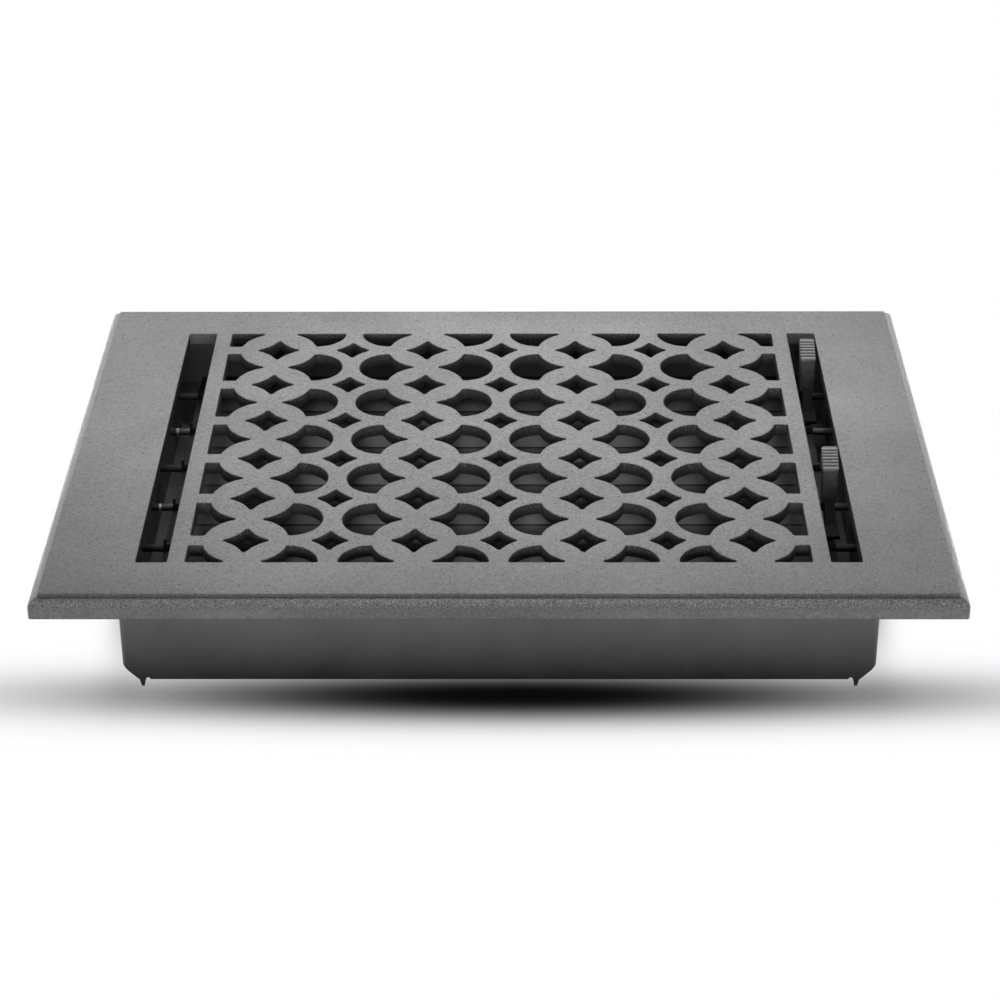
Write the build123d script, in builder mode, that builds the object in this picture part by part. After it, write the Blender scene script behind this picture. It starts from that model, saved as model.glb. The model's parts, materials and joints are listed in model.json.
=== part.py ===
"""Floor register: cast face grille over a sheet steel damper box with two lever-driven louver sets."""

import os
from math import cos, radians, sin

from build123d import *

# Driving sizes, millimetres. The origin is under the middle of the plate, at the tips of the pegs.
pitch = 31.75
plate_len = 10.8 * pitch
plate_dep = 7.6 * pitch
plate_thk = 5.0
rim_height = 9.2
rim_wall = 7.0
rim_setback = 3.4
rim_quirk = 1.6
rim_round = 2.9
peg_drop = 3.0
box_len = 8.98 * pitch
box_dep = 6.2 * pitch
sheet = 0.8
bend = 2.5
corner_cut = 6.0
return_len = 12.0
peg_w = 2.6
notch_r = 0.8

# Lattice of overlapping circles, all in lattice pitches
field_half_x = 3.67 * pitch
field_half_y = 3.0 * pitch
slot_in = 3.88 * pitch
slot_out = 4.25 * pitch
hole_r = 0.385 * pitch
ring_r = 0.510 * pitch
big_r = 0.535 * pitch
small_r = 0.563 * pitch
side_half = 0.390 * pitch

# Louvers, rods, links and levers
rod_r = 1.5
blade_half = 0.52 * pitch
blade_thk = 0.8
blade_tilt = 2.5
crank_r = 10.0
crank_w = 6.0
crank_swing = 40.0
pin_r = 1.2
link_w = 5.0
link_thk = 1.1
lever_shift = 1.0
lever_w = 6.2
shank_w = 4.2
head_len = 12.5
head_tall = 15.0
head_rise = 4.7
head_lead = 3.6
foot_w = 11.5
foot_thk = 1.8
groove_w = 0.8
groove_count = 6
pad_slope = 26.5

# Fits and clearances
run_gap = 0.05
seat_gap = 0.02
side_gap = 0.2
panel_gap = 0.1
swing_gap = 1.0
box_tail = 11.0
blade_gap = 10.0

# Fasteners
screw_r = 1.75
screw_hex = 6.35
screw_head_h = 2.2
screw_bite = 4.0
flange_w = 10.5
rivet_r = 1.5
rivet_head_r = 2.7
rivet_head_h = 1.0

# Levels and places that follow from the sizes
pivot_drop = plate_thk + blade_half + swing_gap
box_drop = pivot_drop + blade_half + box_tail
top_z = peg_drop + box_drop
under_z = top_z - plate_thk
rim_z = top_z - rim_height
pivot_z = top_z - pivot_drop
web_out = box_len / 2 - sheet
web_mid = web_out - sheet / 2
web_in = web_out - sheet
rod_end = box_len / 2 + 1.0
blade_end = web_in - blade_gap
link_out = blade_end + side_gap + link_thk
lever_x = (slot_in + slot_out) / 2 + lever_shift
foot_x = lever_x + lever_w / 2 - foot_w
lever_rivet_x = foot_x + 3.2
lever_rivet_u = blade_half * 0.62
screw_x = web_out + flange_w * 0.55
row_y = [pitch * k for k in (2.5, 1.5, 0.5, -0.5, -1.5, -2.5)]

os.makedirs("parts", exist_ok=True)


def blade_plane(x, y):
    """Plane across a louver at x, turned so that its local x runs along the resting chord."""
    tilt = radians(blade_tilt)
    return Plane(origin=(x, y, pivot_z), x_dir=(0, cos(tilt), sin(tilt)), z_dir=(1, 0, 0))


# Openings of the face: one four-pointed opening of each size, then the whole field
with BuildSketch() as big_diamond:
    Rectangle(pitch, pitch)
    with GridLocations(pitch, pitch, 2, 2):
        Circle(big_r, mode=Mode.SUBTRACT)

with BuildSketch() as small_diamond:
    Rectangle(pitch, pitch)
    with GridLocations(pitch, pitch, 2, 2):
        Circle(small_r, mode=Mode.SUBTRACT)

with BuildSketch() as openings:
    with GridLocations(pitch, pitch, 6, 7):
        Circle(hole_r)
    for side in (-1, 1):
        with Locations((side * (3.1 * pitch + field_half_x) / 2, 0)):
            with GridLocations(0, pitch, 1, 7):
                Rectangle(field_half_x - 3.1 * pitch, 2 * side_half)
    with GridLocations(2 * pitch, pitch, 4, 6):
        Circle(ring_r, mode=Mode.SUBTRACT)
    Rectangle(2 * field_half_x, 2 * field_half_y, mode=Mode.INTERSECT)
    with GridLocations(2 * pitch, pitch, 4, 6):
        add(big_diamond.sketch)
    with GridLocations(2 * pitch, pitch, 3, 6):
        add(small_diamond.sketch)
    with GridLocations(slot_in + slot_out, 0, 2, 1):
        Rectangle(slot_out - slot_in, 2 * field_half_y)

# Face grille: rounded outer moulding, raised flat face, skirt below, openings cut through
with BuildPart() as face_grille:
    with BuildSketch(Plane.XY.offset(rim_z)):
        Rectangle(plate_len, plate_dep)
    extrude(amount=rim_height - rim_quirk)
    fillet(face_grille.edges().group_by(Axis.Z)[-1], radius=rim_round)
    with BuildSketch(Plane.XY.offset(rim_z)):
        Rectangle(plate_len - 2 * rim_setback, plate_dep - 2 * rim_setback)
    extrude(amount=rim_height)
    with BuildSketch(Plane.XY.offset(rim_z)):
        Rectangle(plate_len - 2 * rim_wall, plate_dep - 2 * rim_wall)
    extrude(amount=rim_height - plate_thk, mode=Mode.SUBTRACT)
    with BuildSketch(Plane.XY.offset(under_z)):
        add(openings.sketch)
    extrude(amount=plate_thk, mode=Mode.SUBTRACT)
    with BuildSketch(Plane.XY.offset(under_z)):
        with GridLocations(2 * screw_x, 0, 2, 1):
            Circle(screw_r + seat_gap)
    extrude(amount=screw_bite + side_gap, mode=Mode.SUBTRACT)
face_grille.part.label = "face_grille"
export_step(face_grille.part, "parts/face_grille.step")

# Front panel: one sheet with returns round the ends, cut lower corners and two pegs
with BuildPart() as front_panel:
    with BuildSketch(Plane.XY.offset(peg_drop)):
        RectangleRounded(box_len, box_dep, bend)
        RectangleRounded(box_len - 2 * sheet, box_dep - 2 * sheet, bend - sheet, mode=Mode.SUBTRACT)
        with Locations((0, (return_len - box_dep) / 2)):
            Rectangle(box_len, return_len, mode=Mode.INTERSECT)
    extrude(amount=under_z - peg_drop)
    with BuildSketch(Plane.XZ.offset(box_dep / 2)):
        for side in (-1, 1):
            with BuildLine():
                Polyline(
                    (side * box_len / 2, peg_drop + corner_cut),
                    (side * (box_len / 2 - corner_cut), peg_drop),
                    (side * box_len / 2, peg_drop),
                    close=True,
                )
            make_face()
    extrude(amount=-return_len, mode=Mode.SUBTRACT)
    with BuildSketch(Plane.XZ.offset(box_dep / 2)):
        for side in (-1, 1):
            peg_x = side * (box_len / 2 - corner_cut - peg_w * 0.54)
            with BuildLine():
                Polyline(
                    (peg_x - peg_w / 2, peg_drop + 0.5),
                    (peg_x + peg_w / 2, peg_drop + 0.5),
                    (peg_x + peg_w * 0.2, 0),
                    (peg_x - peg_w * 0.2, 0),
                    close=True,
                )
            make_face()
    extrude(amount=-sheet)
    with BuildSketch(Plane.XZ.offset(box_dep / 2)):
        with GridLocations(box_len - 2 * corner_cut - 2.08 * peg_w - 2 * notch_r, 0, 2, 1):
            with Locations((0, peg_drop)):
                Circle(notch_r)
    extrude(amount=-sheet, mode=Mode.SUBTRACT)
front_panel.part.label = "front_panel"
export_step(front_panel.part, "parts/front_panel.step")

# Back panel: the same sheet turned to the other side
with BuildPart() as back_panel:
    add(front_panel.part)
    mirror(about=Plane.XZ, mode=Mode.REPLACE)
back_panel.part.label = "back_panel"
export_step(back_panel.part, "parts/back_panel.step")

# Right end panel: top flange outward, web with the pivot holes, sloping lower lip
with BuildPart() as right_end_panel:
    with BuildSketch(Plane.XZ):
        with BuildLine():
            FilletPolyline(
                (web_out + flange_w, under_z - sheet / 2),
                (web_mid, under_z - sheet / 2),
                (web_mid, peg_drop + corner_cut + 0.2),
                (web_mid - corner_cut + 0.8, peg_drop + 1.0),
                radius=1.0,
            )
        trace(line_width=sheet)
    extrude(amount=box_dep / 2 - bend - panel_gap, both=True)
    with BuildSketch(Plane.XY.offset(under_z - 6.0)):
        with Locations((web_out + flange_w, 0)):
            with GridLocations(0, box_dep, 1, 2):
                Rectangle(2 * flange_w, 2 * return_len + 4.0)
    extrude(amount=8.0, mode=Mode.SUBTRACT)
    with BuildSketch(Plane.XY.offset(under_z - sheet)):
        with Locations((screw_x, 0)):
            Circle(screw_r + side_gap)
    extrude(amount=sheet, mode=Mode.SUBTRACT)
    with BuildSketch(Plane.YZ.offset(web_in - 1.0)):
        with Locations(*[(y, pivot_z) for y in row_y]):
            Circle(rod_r + run_gap)
    extrude(amount=sheet + 2.0, mode=Mode.SUBTRACT)
right_end_panel.part.label = "right_end_panel"
export_step(right_end_panel.part, "parts/right_end_panel.step")

# Left end panel: the same sheet turned to the other end
with BuildPart() as left_end_panel:
    add(right_end_panel.part)
    mirror(about=Plane.YZ, mode=Mode.REPLACE)
left_end_panel.part.label = "left_end_panel"
export_step(left_end_panel.part, "parts/left_end_panel.step")

# Hex head screws, one at each end, that hold the box flanges to the underside of the grille
with BuildPart() as flange_screws:
    with BuildSketch(Plane.XY.offset(under_z - sheet - screw_head_h)):
        with GridLocations(2 * screw_x, 0, 2, 1):
            RegularPolygon(screw_hex / 2, 6, major_radius=False)
    extrude(amount=screw_head_h)
    with BuildSketch(Plane.XY.offset(under_z - sheet)):
        with GridLocations(2 * screw_x, 0, 2, 1):
            Circle(screw_r)
    extrude(amount=sheet + screw_bite)
flange_screws.part.label = "flange_screws"
export_step(flange_screws.part, "parts/flange_screws.step")

# Louver blades, back to front: sheet with a folded bead over its rod and a crank ear at the left end
crank_turn = radians(270.0 - crank_swing)
pin_u = crank_r * cos(crank_turn)
pin_v = crank_r * sin(crank_turn)
set_names = ["back", "back", "back", "front", "front", "front"]
row_names = ["rear", "middle", "fore", "rear", "middle", "fore"]
for y, set_name, row_name in zip(row_y, set_names, row_names):
    with BuildPart() as blade:
        with BuildSketch(blade_plane(-blade_end, y)):
            RegularPolygon(rod_r + seat_gap + blade_thk, 8, major_radius=False, rotation=22.5)
            with Locations((0, -blade_half - blade_thk / 2)):
                Rectangle(2 * blade_half, 2 * blade_half, mode=Mode.SUBTRACT)
            Rectangle(2 * blade_half, blade_thk)
            RegularPolygon(rod_r + seat_gap, 8, major_radius=False, rotation=22.5, mode=Mode.SUBTRACT)
        extrude(amount=2 * blade_end)
        with BuildSketch(blade_plane(-blade_end, y)):
            with Locations((pin_u / 2, pin_v / 2)):
                Rectangle(crank_r + crank_w, crank_w, rotation=270.0 - crank_swing)
            RegularPolygon(rod_r + seat_gap, 8, major_radius=False, rotation=22.5, mode=Mode.SUBTRACT)
            with Locations((pin_u, pin_v)):
                Circle(pin_r + run_gap, mode=Mode.SUBTRACT)
        extrude(amount=blade_thk)
        if row_name == "middle":
            rivet_seat = blade_plane(lever_rivet_x, y)
            with BuildSketch(Plane(rivet_seat.origin, x_dir=rivet_seat.x_dir, z_dir=rivet_seat.y_dir)):
                with Locations((lever_rivet_u, 0)):
                    Circle(rivet_r + seat_gap)
            extrude(amount=blade_thk, both=True, mode=Mode.SUBTRACT)
    blade.part.label = f"{set_name}_{row_name}_blade"
    export_step(blade.part, f"parts/{set_name}_{row_name}_blade.step")

    with BuildPart() as rod:
        with BuildSketch(Plane.YZ.offset(-rod_end)):
            with Locations((y, pivot_z)):
                Circle(rod_r)
        extrude(amount=2 * rod_end)
    rod.part.label = f"{set_name}_{row_name}_rod"
    export_step(rod.part, f"parts/{set_name}_{row_name}_rod.step")

# Thumb levers on the two middle blades: ridged head through the slot, shank, and a riveted foot
head_u = blade_half + head_lead
head_v = pivot_drop
for y, set_name in ((row_y[1], "back"), (row_y[4], "front")):
    with BuildPart() as lever:
        with BuildSketch(blade_plane(lever_x - lever_w / 2, y)):
            with BuildLine():
                Polyline(
                    (head_u + 0.97 * head_len, head_v + head_rise),
                    (head_u + head_len, head_v + 0.5 * head_rise),
                    (head_u + 0.61 * head_len, head_v - 0.51 * head_tall),
                    (head_u + 0.42 * head_len, head_v - head_tall),
                    (head_u, head_v - head_tall),
                    (head_u + 0.12 * head_len, head_v - 0.12 * head_tall),
                )
                ThreePointArc(
                    (head_u + 0.12 * head_len, head_v - 0.12 * head_tall),
                    (head_u + 0.15 * head_len, head_v - 0.04 * head_tall),
                    (head_u + 0.25 * head_len, head_v + 0.01 * head_tall),
                )
                pad = ThreePointArc(
                    (head_u + 0.25 * head_len, head_v + 0.01 * head_tall),
                    (head_u + 0.58 * head_len, head_v + 0.57 * head_rise),
                    (head_u + 0.97 * head_len, head_v + head_rise),
                )
            make_face()
            with Locations(*[pad @ ((k + 0.6) / groove_count) for k in range(groove_count)]):
                Rectangle(groove_w, groove_w, rotation=pad_slope + 45.0, mode=Mode.SUBTRACT)
        extrude(amount=lever_w)
        with BuildSketch(blade_plane(lever_x - shank_w / 2, y)):
            with BuildLine():
                Polyline(
                    (blade_half - shank_w, blade_thk / 2 + 0.5 * foot_thk),
                    (blade_half, blade_thk / 2 + 0.3 * foot_thk),
                    (head_u + 0.4 * head_len, head_v - head_tall),
                    (head_u + 0.35 * head_len, head_v - 0.83 * head_tall),
                    (head_u + 0.05 * head_len, head_v - 0.83 * head_tall),
                    close=True,
                )
            make_face()
        extrude(amount=shank_w)
        with BuildSketch(blade_plane(foot_x, y)):
            with Locations((blade_half * 0.65, blade_thk / 2 + foot_thk / 2)):
                Rectangle(blade_half * 0.7, foot_thk)
        extrude(amount=foot_w)
        rivet_seat = blade_plane(lever_rivet_x, y)
        with BuildSketch(Plane(rivet_seat.origin, x_dir=rivet_seat.x_dir, z_dir=rivet_seat.y_dir)):
            with Locations((lever_rivet_u, 0)):
                Circle(rivet_r + seat_gap)
        extrude(amount=2 * foot_thk, mode=Mode.SUBTRACT)
    lever.part.label = f"{set_name}_lever"
    export_step(lever.part, f"parts/{set_name}_lever.step")

    with BuildPart() as lever_rivet:
        seat = Plane(rivet_seat.origin, x_dir=rivet_seat.x_dir, z_dir=rivet_seat.y_dir)
        with BuildSketch(seat.offset(-blade_thk / 2 - side_gap)):
            with Locations((lever_rivet_u, 0)):
                Circle(rivet_r)
        extrude(amount=blade_thk + foot_thk + side_gap)
        with BuildSketch(seat.offset(blade_thk / 2 + foot_thk)):
            with Locations((lever_rivet_u, 0)):
                Circle(rivet_head_r)
        extrude(amount=rivet_head_h, taper=35)
    lever_rivet.part.label = f"{set_name}_lever_rivet"
    export_step(lever_rivet.part, f"parts/{set_name}_lever_rivet.step")

# Link bars under the left ends of the blades, one for each set of three, with studs through the crank ears
turn = radians(blade_tilt)
pin_y = pin_u * cos(turn) - pin_v * sin(turn)
pin_z = pivot_z + pin_u * sin(turn) + pin_v * cos(turn)
for y, set_name in ((row_y[1], "back"), (row_y[4], "front")):
    with BuildPart() as link:
        with BuildSketch(Plane.YZ.offset(-link_out)) as bar:
            with Locations((y + pin_y, pin_z)):
                Rectangle(2 * pitch + link_w, link_w)
            chamfer(bar.vertices(), length=link_w * 0.25)
        extrude(amount=link_thk)
        with BuildSketch(Plane.YZ.offset(-link_out + link_thk)):
            with Locations((y + pin_y, pin_z)):
                with GridLocations(pitch, 0, 3, 1):
                    Circle(pin_r)
        extrude(amount=2 * side_gap + blade_thk)
    link.part.label = f"{set_name}_link_bar"
    export_step(link.part, f"parts/{set_name}_link_bar.step")
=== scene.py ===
"""Floor register: cast lattice face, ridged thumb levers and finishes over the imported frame."""

import json
from math import atan2, cos, exp, pi, radians, sin, sqrt

import bpy
import numpy as np
from bpy.props import FloatProperty, FloatVectorProperty, IntProperty, PointerProperty
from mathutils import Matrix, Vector
from mathutils.geometry import delaunay_2d_cdt


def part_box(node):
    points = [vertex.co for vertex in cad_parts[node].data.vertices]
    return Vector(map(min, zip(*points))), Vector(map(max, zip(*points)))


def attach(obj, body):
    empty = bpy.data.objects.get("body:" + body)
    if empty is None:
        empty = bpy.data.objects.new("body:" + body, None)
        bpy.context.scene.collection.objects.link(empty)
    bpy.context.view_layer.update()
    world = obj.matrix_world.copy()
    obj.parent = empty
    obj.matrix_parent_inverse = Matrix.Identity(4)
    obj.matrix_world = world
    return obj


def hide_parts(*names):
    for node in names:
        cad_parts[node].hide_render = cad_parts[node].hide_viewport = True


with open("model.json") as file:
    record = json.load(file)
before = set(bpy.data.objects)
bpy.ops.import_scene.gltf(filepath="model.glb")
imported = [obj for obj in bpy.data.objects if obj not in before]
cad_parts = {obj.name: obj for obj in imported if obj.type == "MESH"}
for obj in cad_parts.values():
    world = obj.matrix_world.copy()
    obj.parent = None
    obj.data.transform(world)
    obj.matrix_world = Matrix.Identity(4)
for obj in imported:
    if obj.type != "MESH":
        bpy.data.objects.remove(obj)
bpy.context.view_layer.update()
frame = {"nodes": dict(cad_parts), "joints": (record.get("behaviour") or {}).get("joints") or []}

bl_info = {
    "name": "Floor register",
    "version": (1, 0, 0),
    "blender": (4, 5, 0),
    "location": "View3D > Sidebar > Register",
    "description": "Builds the cast face, levers, finishes and stage of a louvered floor register",
    "category": "Object",
}

FACE_LOW, FACE_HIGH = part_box("face_grille")
PITCHES_LONG = 10.8
PITCH = (FACE_HIGH.x - FACE_LOW.x) / PITCHES_LONG
PIVOTS = {joint["child"]: joint["pos_m"] for joint in frame["joints"]}
SETS = ("back", "front")
ROWS = ("rear", "middle", "fore")
PANELS = ("front_panel", "back_panel", "left_end_panel", "right_end_panel")
LEVER_END = "right_end_panel"

# Corners of a square in order, and the angle past which an edge is shaded sharp
SQUARE = ((-1, -1), (1, -1), (1, 1), (-1, 1))
CREASE = radians(38.0)

# Points on each arc: openings, their upper edges, the rim's section and corners, and the levers
RING_POINTS, HOLE_POINTS, DIAMOND_POINTS, FILLET_POINTS, FAN_POINTS = 12, 26, 10, 6, 3
RIM_POINTS, CORNER_POINTS = (5, 4, 9, 4), 5
HEAD_POINTS, BRACKET_POINTS, SIDE_POINTS = 12, 6, 5

# Fillet at the foot of the rim's step, as a share of the small edge
FILLET_SHARE = 0.7

# Casting: seed of the ragged edges, and the depth where the sand starts to thin, in quarter rounds
RAGGED_SEED = 7
SAND_FULL = 0.8

# Coat of the casting: waves to the metre, the fine grain's share, and pits as cells to the metre and width
CAST_GRAIN, CAST_CLOUD, CAST_SAND = 950.0, 16.0, 1700.0
GRAIN_SHARE = 0.63
LARGE_PITS, SMALL_PITS = (300.0, 0.20), (740.0, 0.36)

# Bands across which the slots' walls begin: short end walls, inner side, and past the ends
SLOT_END, SLOT_SIDE, SLOT_PAST = (0.0938, 0.0946), (0.119, 0.121), (0.097, 0.099)

# Lever's head: shares of its length, front height and rise for each corner, then the corner's radius
HEAD_OUTLINE = (
    (0.0, -1.0, 0.0, 0.0006),
    (0.42, -1.0, 0.0, 0.0008),
    (0.61, -0.51, 0.0, 0.006),
    (1.0, 0.0, 0.5, 0.0008),
    (0.97, 0.0, 1.0, 0.0007),
    (0.58, 0.0, 0.60, 0.012),
    (0.13, -0.02, 0.0, 0.0012),
)
HEAD_SPACING, RIDGE_POWER = 0.00016, 0.6

# Lever's shank and foot: corner radii, radius along the sides, and spacing of the points
SHANK_ROUND, FOOT_ROUND, BRACKET_EDGE, BRACKET_SPACING = 0.0005, 0.0004, 0.00035, 0.0004

# Depth of the shank's neck in the head, in head heights, and the heel's place, in blade half widths
NECK_DEEP, HEEL_SHARE = 0.83, 0.3

# Box paint: levels between which it darkens towards the floor as painted shade, its tone at the foot,
# and depth of the orange peel
PAINTED_SHADE_FADE = (0.0015, 0.7 * FACE_HIGH.z)
BOX_FOOT_PAINTED_SHADE = 0.02
PEEL_DEEP = 0.00006

# Where the box's outer skin begins along each axis, the blend there, and the primer's tone at the lever end,
# which is darker there as painted shade
BOX_SKINS = (("X", 0.1422), ("Y", 0.0981))
SKIN_BLEND = 0.0004
LEVER_END_PAINTED_SHADE = 0.7

# Louvers and rods: bands of painted shade at the blades' seams and ends, the rods' tone, and the ends of the
# spot where two rods are bright steel, partly scuffed and partly a painted glint
SEAM_PAINTED_SHADE, END_PAINTED_SHADE = (0.0006, 0.0013), (0.118, 0.123)
ROD_TONE = 5.0
RUBBED_GLINT_RODS = ("back_middle_rod", "front_rear_rod")
RUBBED_GLINT_SPOT, RUBBED_GLINT_BLEND = (-0.1368, -0.1358), 0.0002
DRAWN_LINES = (120.0, 5200.0, 5200.0)

# Floor: painted soft shadows by middle and extents, then the painted dark foot by axis, middle and half width
PAINTED_FLOOR_SHADOWS = (
    ((0.007, -0.105), (0.106, 0.0113)),
    ((0.0, 0.105), (0.05, 0.0113)),
    ((-0.143, 0.0), (0.006, 0.038)),
    ((0.143, 0.0), (0.006, 0.038)),
)
PAINTED_FOOT_SHADOW = (("X", 0.0, 0.1402), ("Y", 0.00255, 0.09355))
FOOT_SOFT = 0.004
FLOOR_POWER = 2.2
FLOOR_REACH = 2.5
# The paper itself is nearly black: it shows the painted shadows and gives back little light
PAINTED_SHADOW_PAPER = (0.01, 0.01, 0.01)
WHITE = (1.0, 1.0, 1.0, 1.0)

# Lamps: name, place, aim, size, the setting that holds the power, and the beam in degrees
LAMPS = (
    ("overhead", (0.0, 0.05, 0.47), (0.0, 0.015, 0.05), (0.34, 0.22), "overhead", 68.0),
    ("back", (0.0, 0.40, 0.34), (0.0, 0.13, 0.05), (1.0, 0.10), "back", 50.0),
    ("front", (0.0, -0.9, 0.22), (0.0, -0.1, 0.04), (0.7, 0.15), "front", 180.0),
    ("left", (-0.8, 0.0, 0.030), (-0.17, 0.0, 0.030), (0.24, 0.03), "sides", 180.0),
    ("left_edge", (-0.8, 0.0, 0.0462), (-0.17, 0.0, 0.0462), (0.6, 0.007), "edges", 1.2),
    ("right", (0.8, 0.0, 0.030), (0.17, 0.0, 0.030), (0.24, 0.03), "sides", 180.0),
    ("right_edge", (0.8, 0.0, 0.0462), (0.17, 0.0, 0.0462), (0.6, 0.007), "edges", 1.2),
)

# Camera: width of the sensor in millimetres, place, and turn about each axis in degrees
SENSOR_WIDE = 36.0
CAMERA_PLACE = (0.00783, -0.93702, FACE_HIGH.z + 0.5111)
CAMERA_TURN = (60.0716, 0.228, 0.3598)


def length(name, default, description):
    """A size in metres that the user can change."""
    return FloatProperty(name=name, description=description, default=default, precision=5, unit="LENGTH")


def share(name, default, description):
    """A size given as a share of the lattice pitch or of another size."""
    return FloatProperty(name=name, description=description, default=default, precision=4)


def power(name, default, description):
    """A lamp's power in watts."""
    return FloatProperty(name=name, description=description, default=default, precision=4, unit="POWER")


def colour(name, default, description):
    """A linear colour that the user can change."""
    return FloatVectorProperty(
        name=name, description=description, default=default, size=3, min=0.0, max=1.0, subtype="COLOR"
    )


class RegisterFaceSizes(bpy.types.PropertyGroup):
    """Sizes of the cast face."""

    pitch: length("Lattice pitch", PITCH, "Distance between neighbouring circle centres")
    hole: share("Hole radius", 0.385, "Radius of the pointed holes, in pitches")
    ring: share("Ring radius", 0.510, "Radius of the rings that point the holes, in pitches")
    big_diamond: share("Large diamond", 0.535, "Radius of the sides of the large diamonds, in pitches")
    small_diamond: share("Small diamond", 0.563, "Radius of the sides of the small diamonds, in pitches")
    side_half: share("End hole", 0.390, "Half height of the holes at the ends of the field, in pitches")
    field_x: share("Field half length", 3.67, "Half length of the lattice field, in pitches")
    field_y: share("Field half depth", 3.0, "Half depth of the lattice field, in pitches")
    slot_in: share("Slot inner edge", 3.88, "Distance of the lever slot's inner edge, in pitches")
    slot_out: share("Slot outer edge", 4.25, "Distance of the lever slot's outer edge, in pitches")
    thickness: length("Thickness", 0.005, "Thickness of the face")
    edge_round: length("Edge rounding", 0.0004, "Radius along the upper edges of the openings")
    ragged: length("Ragged edges", 0.00005, "Unevenness left by the mould along the openings")
    tip_round: length("Tip rounding", 0.0008, "Radius in the corners of the openings")
    rim_setback: length("Rim setback", 0.0034, "How far the moulding stands out from the raised face")
    rim_quirk: length("Rim step", 0.0016, "Height of the step above the moulding")
    rim_round: length("Rim rounding", 0.0029, "Radius of the moulding")
    rim_wall: length("Skirt", 0.007, "Width of the skirt below the moulding")
    rim_edge: length("Rim edge", 0.00045, "Radius along the sharp edges of the rim")
    sand_deep: share("Sand depth", 1.45, "Depth of the sandy coat, in quarter rounds")
    # The step's darker tone on the long sides is painted shade
    step_painted_shade: share("Step tone", 0.2, "Share of the coat's tone on the step")
    corner_round: length("Corner rounding", 0.0008, "Radius of the four outer corners")


class RegisterLeverSizes(bpy.types.PropertyGroup):
    """Sizes of the two thumb levers."""

    tilt: FloatProperty(
        name="Blade tilt", description="Slope of the resting blades", default=radians(2.5), subtype="ANGLE"
    )
    blade_half: share("Blade half width", 0.52, "Half width of a louver blade, in pitches")
    blade_thick: length("Blade thickness", 0.0008, "Thickness of a louver blade")
    head_long: length("Head length", 0.0125, "Length of the ridged head")
    head_tall: length("Head height", 0.015, "Height of the head's front")
    head_rise: length("Head rise", 0.0047, "Height of the head's back above the face")
    head_lead: length("Head lead", 0.0036, "Distance of the head behind the blade's edge")
    head_wide: length("Head width", 0.0062, "Width of the head")
    shank_wide: length("Shank width", 0.0042, "Width of the shank")
    foot_wide: length("Foot width", 0.0115, "Width of the riveted foot")
    foot_thick: length("Foot thickness", 0.0018, "Thickness of the riveted foot")
    ridges: IntProperty(name="Ridges", description="Ridges across the thumb pad", default=7, min=1)
    ridge_high: length("Ridge height", 0.0009, "Height of a ridge over the groove beside it")
    edge_round: length("Edge rounding", 0.00045, "Radius along the sides of the lever")


class RegisterColours(bpy.types.PropertyGroup):
    """Base colours of the finishes."""

    cast: colour("Cast coat", (0.248, 0.250, 0.253), "Coat on the cast face")
    pit: colour("Casting pits", (0.025, 0.025, 0.025), "Small pits in the cast face")
    box: colour("Box paint", (0.305, 0.306, 0.308), "Paint on the damper box")
    inside: colour("Inside paint", (0.210, 0.210, 0.212), "Dull primer inside the box")
    louver: colour("Louver paint", (0.0150, 0.0152, 0.0155), "Paint on the louver blades")
    plastic: colour("Lever plastic", (0.150, 0.150, 0.152), "Moulded thumb levers")
    steel: colour("Bright steel", (0.30, 0.30, 0.30), "Rods, rivets and screws")


class RegisterStage(bpy.types.PropertyGroup):
    """Camera and lamps."""

    lens: FloatProperty(name="Lens", description="Focal length", default=95.644, unit="CAMERA")
    overhead: power("Overhead lamp", 0.218, "Power of the lamp above")
    back: power("Back lamp", 0.20, "Power of the lamp behind")
    front: power("Front lamp", 2.0, "Power of the front lamp")
    sides: power("Side lamps", 1.5, "Power of each side lamp")
    edges: power("Edge lamps", 0.024, "Power of each edge lamp")
    ambient: FloatProperty(name="Ambient", description="Strength of the light from all round", default=0.05)


def piece_from_arrays(name, points, face_groups, material, flat_groups=()):
    """A mesh object from a point array and face index arrays; groups named in flat_groups are shaded flat."""
    mesh = bpy.data.meshes.new(name)
    mesh.vertices.add(len(points))
    mesh.vertices.foreach_set("co", np.asarray(points, np.float32).ravel())
    corners = np.concatenate([group.ravel() for group in face_groups]).astype(np.int32)
    sizes = np.concatenate([np.full(len(group), group.shape[1]) for group in face_groups])
    smooth = np.concatenate([np.full(len(g), k not in flat_groups) for k, g in enumerate(face_groups)])
    mesh.loops.add(len(corners))
    mesh.loops.foreach_set("vertex_index", corners)
    mesh.polygons.add(len(sizes))
    mesh.polygons.foreach_set("loop_start", (np.cumsum(sizes) - sizes).astype(np.int32))
    mesh.polygons.foreach_set("use_smooth", smooth)
    mesh.update(calc_edges=True)
    if mesh.validate():
        raise RuntimeError(f"{name} has faces that do not close")
    mesh.set_sharp_from_angle(angle=CREASE)
    mesh.materials.append(material)
    piece = bpy.data.objects.new(name, mesh)
    bpy.context.scene.collection.objects.link(piece)
    return piece


def arc(centre, radius, start, end, count, metal):
    """Points on a circle from angle start to angle end, with normals towards the metal.

    metal is 1 where the metal lies outside the circle and -1 where the circle itself is metal.
    """
    turn = np.linspace(start, end, count)
    ray = np.stack([np.cos(turn), np.sin(turn)], axis=1)
    return np.asarray(centre) + radius * ray, metal * ray


def straight(start, end):
    """A straight run with the metal on its right hand."""
    run = np.array([start, end], float)
    along = (run[1] - run[0]) / np.linalg.norm(run[1] - run[0])
    return run, np.repeat([[along[1], -along[0]]], 2, axis=0)


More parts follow.
